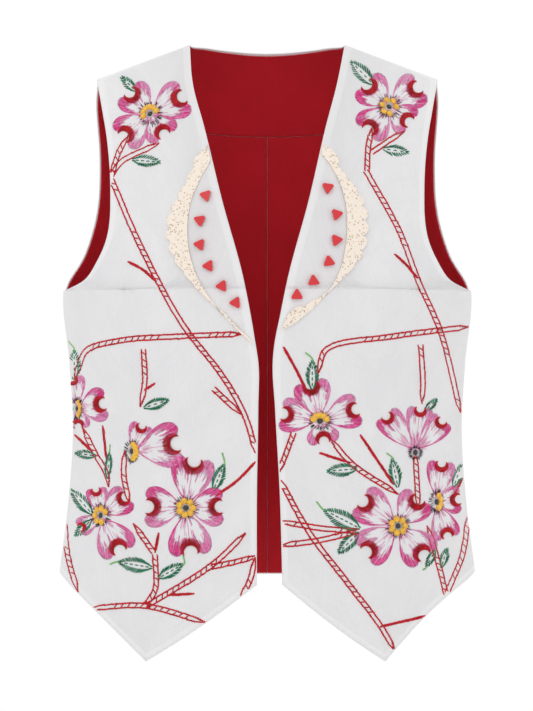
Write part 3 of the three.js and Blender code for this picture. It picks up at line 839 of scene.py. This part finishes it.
def petal(bag, centre, notch, half, hot):
    """A heart-shaped petal: long and short satin stitches round its edge, rays inside, and a
    red crescent in its notch. hot is the lobe in the stronger pink: 1, -1 or 0 for neither."""
    centre, notch = np.array(centre, float), np.array(notch, float)
    reach = np.linalg.norm(notch)
    a = notch / reach
    b = np.array([-a[1], a[0]])
    for lobe in (1, -1):
        outline = Path([(reach * p + half * q, lobe * half * r) for p, q, r in PETAL])
        n = max(16, int(outline.length / 0.62))
        share = (np.arange(n) + rng.random(n) * 0.6) / n
        share = share * 0.93 + 0.02
        p = outline.at(share)
        target = np.stack([np.full(n, reach * 0.18), p[:, 1] * 0.22], 1)
        to = target - p
        far = np.linalg.norm(to, axis=1)
        to = to / far[:, None]
        lean = np.sin(np.clip(share, 0, 1) * math.pi) ** 0.6
        length = (0.34 * half + 0.14 * reach) * (0.45 + 0.75 * lean) * rng.uniform(0.6, 1.25, n)
        length = np.minimum(length, far * 0.75)
        mixture = (0.62, 0.33, 0.05) if hot == lobe else (0.04, 0.56, 0.4)
        shades = pick(("pink_hot", "pink", "pink_pale"), n, mixture)
        q = p + to * length[:, None]
        wide = np.where(rng.random(n) < 0.5, 0.95, 0.8)

        def place(local):
            return centre + local[:, :1] * a + local[:, 1:] * b

        bag.add(place(p), place(q), wide, rng.uniform(0.5, 0.75, n), shades)
        # Shorter strokes feathering the band's inner edge.
        m = n // 3
        pickers = rng.choice(n, m, replace=False)
        s0 = p[pickers] + to[pickers] * (length[pickers] * rng.uniform(0.75, 1.1, m))[:, None]
        s1 = s0 + to[pickers] * (rng.uniform(0.12, 0.26, m) * reach)[:, None]
        shade = pick(("pink_pale", "pink"), m, (0.6, 0.4))
        bag.add(place(s0), place(s1), 0.6, 0.35, shade)
        # Rays out of the flower's heart.
        k = 7
        angle = lobe * rng.uniform(0.02, 0.75, k) * math.atan2(half, reach)
        r0, r1 = rng.uniform(0.16, 0.3, k) * reach, rng.uniform(0.36, 0.62, k) * reach
        ray = np.stack([np.cos(angle), np.sin(angle)], 1)
        shade = pick(("pink_pale", "pink"), k, (0.5, 0.5))
        bag.add(place(ray * r0[:, None]), place(ray * r1[:, None]), 0.55, 0.3, shade)
    bag.add(centre + a * reach * 0.3, centre + a * reach * 0.95, 0.6, 0.35, "pink")
    turn = np.linspace(-1.75, 1.75, 30)
    middle = centre + a * (reach + 0.36 * half)
    ray = -np.cos(turn)[:, None] * a + np.sin(turn)[:, None] * b
    inner = 0.30 * half
    thick = 0.40 * half * np.clip(np.cos(turn * 0.86), 0.05, 1) ** 0.8
    bag.add(middle + ray * inner, middle + ray * (inner + thick)[:, None], 1.1, 0.9 + 0.12 * thick,
            pick(("red", "red_deep"), 30, (0.85, 0.15)), 0.25)


KNOT_RING = 6.3  # from a flower's centre to its yellow knots


def heart(bag, knots, centre, squash, pads):
    """The flower's middle: plum rays, padded yellow knots, and a black bead in a white ring."""
    cx, cz = centre
    sx, sz = squash
    n = 46
    angle = np.linspace(0, 2 * math.pi, n, endpoint=False) + rng.normal(0, 0.05, n)
    r0, r1 = rng.uniform(5.2, 7.6, n), rng.uniform(9.5, 13.2, n)
    ring = np.stack([np.cos(angle) * sx, np.sin(angle) * sz], 1)
    bag.add(centre + ring * r0[:, None], centre + ring * r1[:, None], 0.62, 0.55, "plum", 0.3)
    for place in pads:
        t = math.radians(place)
        knots.append((cx + KNOT_RING * math.cos(t) * sx, cz + KNOT_RING * math.sin(t) * sz, 3.2, "yellow"))
    knots.append((cx, cz, 2.6, "bead"))
    turn = np.linspace(0, 2 * math.pi, 17)[:-1]
    dot = np.stack([np.cos(turn), np.sin(turn)], 1)
    ahead = np.roll(dot, -1, axis=0)
    bag.add(centre + dot * 3.3, centre + ahead * 3.3, 1.0, 0.9, "white", 0.3)


def leaf(bag, base, tip, wide=0.24, tendril=()):
    """A leaf worked as two rows of fat slanting stitches, a few along its vein, and a tendril."""
    base, tip = np.array(base, float), np.array(tip, float)
    length = np.linalg.norm(tip - base)
    a = (tip - base) / length
    b = np.array([-a[1], a[0]])
    half = wide * length
    n = max(5, int(length / 1.9))
    t = (np.arange(n) + 0.5) / n
    belly = np.sin(math.pi * t ** 0.85) ** 0.8
    for side in (1, -1):
        outer = base + np.outer(t * length + 1.6, a) + np.outer(side * half * belly, b)
        inner = base + np.outer(t * length - 2.2, a) + np.outer(side * half * belly * 0.34, b)
        outer = outer + rng.normal(0, 0.25, (n, 2))
        bag.add(inner, outer, 1.45, 0.8, pick(("green", "green_deep"), n, (0.7, 0.3)), 0.05)
    k = max(2, int(length / 6))
    v = (np.arange(k) + 0.4) / k * 0.8
    bag.add(base + np.outer(v * length, a), base + np.outer(v * length + 3.6, a), 1.2, 0.7, "green", 0.1)
    if len(tendril):
        path = Path([tip - a * 1.5, tip + a * 1.5, *tendril])
        n = max(3, int(path.length / 1.6))
        share = (np.arange(n) + 0.5) / n
        t = path.tangent(share)
        bag.add(path.at(share) - t * 1.5, path.at(share) + t * 1.5, 1.5, 0.8, "green_light", 0.1)


# ---------------------------------------------------------------- the embroidery's layout
# Plan millimetres. A twig is (kind, points); a petal is (notch offset, half width, lobe in hot
# pink); a leaf is (base, tip, share of width, tendril).
TWIGS = {
    "right": [
        ("tip", [(-142, -128), (-136, -108), (-127, -92)]),
        ("tip", [(-142, -128), (-133.5, -116), (-99, -99)]),
        ("tip", [(-142, -132), (-118, -188), (-78, -263), (-44, -307), (-27, -334), (-18, -354),
                 (-10, -383)]),
        ("solid", [(-101.5, -225), (-114, -214), (-127, -207)]),
        ("solid", [(-11, -390), (-28, -407), (-46, -420)]),
        ("both", [(-24, -273), (-80, -275), (-135, -279), (-165, -288), (-172, -303), (-176, -314)]),
        ("tip", [(-113, -287), (-112, -318), (-116, -339)]), ("solid", [(-112, -324), (-102.5, -318)]),
        ("tip", [(-49, -323), (-36, -335), (-24, -346)]),
        ("both", [(-130, -380), (-131, -401), (-126, -428)]),
        ("both", [(-168, -359), (-158, -380.5), (-147, -400), (-145, -412)]),
        ("solid", [(-147, -387), (-150, -357)]),
        ("solid", [(-160, -380), (-175.5, -365)]), ("solid", [(-102.5, -472), (-99, -454.5)]),
        ("tip", [(-104, -472), (-122, -446)]), ("open", [(-102.5, -474.5), (-102.5, -506.5), (-112, -521)]),
        ("both", [(-160, -523), (-112, -521), (-57, -536)]),
        ("tip", [(-110, -521), (-51, -484), (-20, -455)]),
        ("tip", [(-51, -485.5), (-30, -481), (-9, -475.5)]), ("solid", [(-67, -510), (-89, -511)]),
        ("both", [(-11, -477), (-16, -498), (-26, -516)]),
        ("both", [(-185, -440), (-182, -475), (-173, -508)]),
    ],
    "left": [
        ("tip", [(91, -124), (92, -104), (95.5, -85)]), ("tip", [(95.5, -107), (110, -97), (125, -88)]),
        ("tip", [(90, -124), (120, -178), (138, -225), (158.5, -272), (176, -344)]),
        ("solid", [(116.5, -200), (127, -210), (137, -222)]), ("solid", [(15, -285), (26, -305), (35, -323)]),
        ("both", [(183, -266.5), (115, -275), (54, -287), (46, -309)]),
        ("tip", [(140, -283), (142, -318.5), (141, -336)]), ("both", [(58, -369), (77, -391), (119, -419)]),
        ("solid", [(85, -365), (99, -386), (115, -410)]), ("solid", [(74, -390), (48, -381.5)]),
        ("tip", [(24, -363), (17, -382), (10, -400)]), ("tip", [(83, -453), (48, -450), (12, -444)]),
        ("both", [(11, -405), (39, -455), (71, -497), (103, -539), (116.5, -562)]),
        ("tip", [(83, -453), (48, -461), (12.5, -466)]), ("solid", [(103, -540), (146, -530)]),
        ("both", [(135, -382), (137.5, -424), (138, -432)]), ("tip", [(163, -510), (155, -478), (146, -448)]),
        ("tip", [(164, -509), (178, -474), (183, -438)]), ("solid", [(169, -422), (178, -405)]),
    ],
}
FLOWERS = {  # centre, squash of its heart, directions of the yellow knots, petals
    "right": [
        ((-107, -72), (1, 1), (95, 130, 165, 200, 60, 25),
         [((-14.6, 15.5), 17, 1), ((24.6, 12.8), 18, -1), ((10, -14.6), 16, 1), ((-20, -17.3), 17, -1)]),
        ((-173.5, -341), (0.5, 1), (-60, -20, 20, 60),
         [((19.2, 3.6), 16, 1), ((0.9, -12.8), 11, 0), ((-3.7, 24.6), 11, 0)]),
        ((-123.5, -380), (0.6, 1), (-70, -35, 0, 35, 70), [((34.5, 6), 21, 1), ((8, 20), 11, 0)]),
        ((-74.3, -431.6), (1, 1), (0, 52, 104, 156, 208, 260, 312),
         [((6.4, 36.5), 20, 1), ((-28.3, 0.9), 19, -1), ((25.5, 0.9), 18, 1), ((3.7, -33.8), 20, -1)]),
        ((-152, -438.4), (0.8, 1), (30, 80, 130, 180, 230, 280),
         [((-3.7, 20.5), 10, 1), ((19.2, 14.1), 14, -1), ((14.6, -26.9), 18, 1), ((-16, -10), 9, 0)]),
    ],
    "left": [
        ((111, -65.6), (1, 1), (0, 55, 110, 165, 220, 275),
         [((-16.4, 16.4), 17, 1), ((21.9, 14.6), 17, -1), ((14.6, -11), 15, 1), ((-15.5, -17.3), 17, -1)]),
        ((48, -352.2), (1, 0.8), (20, 55, 90, 125, 160),
         [((-7.3, 28.3), 17, 1), ((28.3, 9.1), 16, -1), ((-28.3, 5.5), 16, 1), ((2.7, -13.7), 15, 0)]),
        ((135, -381), (0.6, 0.6), (), [((-24, 30), 13, 1), ((4, 36), 12, 0), ((22, 26), 12, -1)]),
        ((119.2, -448), (1, 1), (0, 52, 104, 156, 208, 260, 312),
         [((-27.4, 19.2), 18, 1), ((15.5, 20), 17, -1), ((-24.6, -20), 18, 1), ((20, -22.8), 18, -1)]),
        ((154.3, -426), (0.6, 1), (-60, -20, 20, 60),
         [((4.1, 31), 13, 1), ((16, 1.8), 13, -1), ((8.7, -27.4), 13, 1)]),
    ],
}
LEAVES = {
    "right": [
        ((-120, -51), (-133.5, -38), 0.24, ()), ((-122.5, -114), (-98, -116), 0.24, ()),
        ((-176, -314), (-176, -288), 0.24, ((-181, -280),)), ((-112, -340), (-90, -333), 0.24, ()),
        ((-157, -384), (-175.5, -381.5), 0.24, ()), ((-146, -404), (-144, -381), 0.16, ((-143.5, -374),)),
        ((-160, -437), (-179, -415), 0.22, ((-180, -409),)), ((-161, -443), (-175.5, -457), 0.24, ()),
        ((-49, -415), (-39.5, -392), 0.24, ((-41, -381.5),)),
        ((-106, -486), (-136, -481), 0.24, ((-143.5, -483),)),
        ((-99, -495.5), (-77, -483), 0.24, ((-77, -474),)),
    ],
    "left": [
        ((96.5, -45), (76, -24), 0.24, ()), ((106.5, -104), (129, -107), 0.24, ()),
        ((41, -323), (41, -297), 0.24, ((35, -290),)), ((144, -343), (155, -332), 0.24, ()),
        ((81, -396), (54.5, -398), 0.24, ()), ((119, -412), (114, -387), 0.24, ((109, -381.5),)),
        ((170, -412), (177, -392), 0.24, ()), ((84, -450), (52, -433.5), 0.24, ((45, -426),)),
        ((83, -454.5), (64.5, -473), 0.24, ()), ((153, -471), (145, -485.5), 0.24, ((142, -488),)),
        ((159, -485.5), (164, -468), 0.24, ()),
    ],
}
black, _, black_shader = material("bead_black", 0.15, coat=0.6)
black_shader.inputs["Base Color"].default_value = rgb(14, 12, 16)


def domes(name, knots, materials):
    """Half-round knots and beads sitting on the linen."""
    vertices, faces, numbers = [], [], []
    turns = np.linspace(0, 2 * math.pi, 17)[:-1]
    for x, z, radius, kind in knots:
        (p,), (n,) = plan_to_front(np.array([x]), np.array([z]))
        u = np.cross(n, (0, 0, 1))
        u /= np.linalg.norm(u)
        v = np.cross(n, u)
        first = len(vertices)
        for t in np.linspace(0, 1, 6)[:-1] * math.pi / 2:
            for a in turns:
                r = radius * math.cos(t)
                out = math.cos(a) * u + math.sin(a) * v
                vertices.append(p + n * (0.75 * radius * math.sin(t)) + r * out)
        vertices.append(p + n * 0.75 * radius)
        faces.append([first + k for k in range(16)])
        for ring in range(4):
            for k in range(16):
                a, b = first + ring * 16 + k, first + ring * 16 + (k + 1) % 16
                faces.append((a, a + 16, b + 16, b))
        faces += [(first + 64 + k, first + 80, first + 64 + (k + 1) % 16) for k in range(16)]
        numbers += [int(kind == "bead")] * (1 + 64 + 16)
    return new_object(name, vertices, faces, materials, face_materials=numbers)


for side in ("left", "right"):
    bag, knots = Stitches(), []
    for kind, points in TWIGS[side]:
        branch(bag, kind, points)
    for centre, squash, pads, petals in FLOWERS[side]:
        for notch, half, hot in petals:
            petal(bag, centre, notch, half, hot)
        heart(bag, knots, np.array(centre, float), squash, pads)
    for base, tip, wide, tendril in LEAVES[side]:
        leaf(bag, base, tip, wide, tendril)
    stitched = bag.build(f"embroidery_{side}", side, THREAD_MATERIALS)
    body_piece(stitched, "linen")
    centres = domes(f"centres_{side}", knots, [THREAD_MATERIALS[THREAD_NUMBER["yellow"]], black])
    body_piece(centres, "bead")


# ---------------------------------------------------------------- camera, light and stage
camera = bpy.data.cameras.new("camera")
camera.sensor_fit = "AUTO"
camera.sensor_width = 36
camera.lens = 135
camera_object = bpy.data.objects.new("camera", camera)
camera_object.location = (VIEW_X / 1000, -VIEW / 1000, VIEW_Z / 1000)
camera_object.rotation_euler = (math.pi / 2, 0, 0)
bpy.context.scene.collection.objects.link(camera_object)
bpy.context.scene.camera = camera_object

world = bpy.data.worlds.new("studio")
world.use_nodes = True
world.node_tree.nodes["Background"].inputs["Color"].default_value = (1, 1, 1, 1)
world.node_tree.nodes["Background"].inputs["Strength"].default_value = 1.0
bpy.context.scene.world = world
bpy.context.scene.view_settings.view_transform = "Standard"


def area_light(name, place, size, power):
    light = bpy.data.lights.new(name, "AREA")
    light.shape = "DISK"
    light.size = size
    light.energy = power
    obj = bpy.data.objects.new(name, light)
    obj.location = place
    target = np.array([0, 0, -0.29]) - np.array(place)
    obj.rotation_euler = Vector(target).to_track_quat("-Z", "Y").to_euler()
    bpy.context.scene.collection.objects.link(obj)


area_light("key", (-0.6, -2.0, 1.4), 1.2, 5)
FLOOR_RADIUS, FLOOR_Z = 900, -960
floor_turns = np.linspace(0, 2 * math.pi, 65)[:-1]
rim = [(FLOOR_RADIUS * math.cos(a), FLOOR_RADIUS * math.sin(a)) for a in floor_turns]
floor_pale = woven("floor_pale", rgb(236, 236, 236), rgb(244, 244, 244), threads=10, roughness=0.9, sheen=0,
                   slub=0.3, depth=0.0001)
floor = new_object("floor", [(*p, FLOOR_Z) for p in rim], [range(len(rim))], [floor_pale], uv=rim)
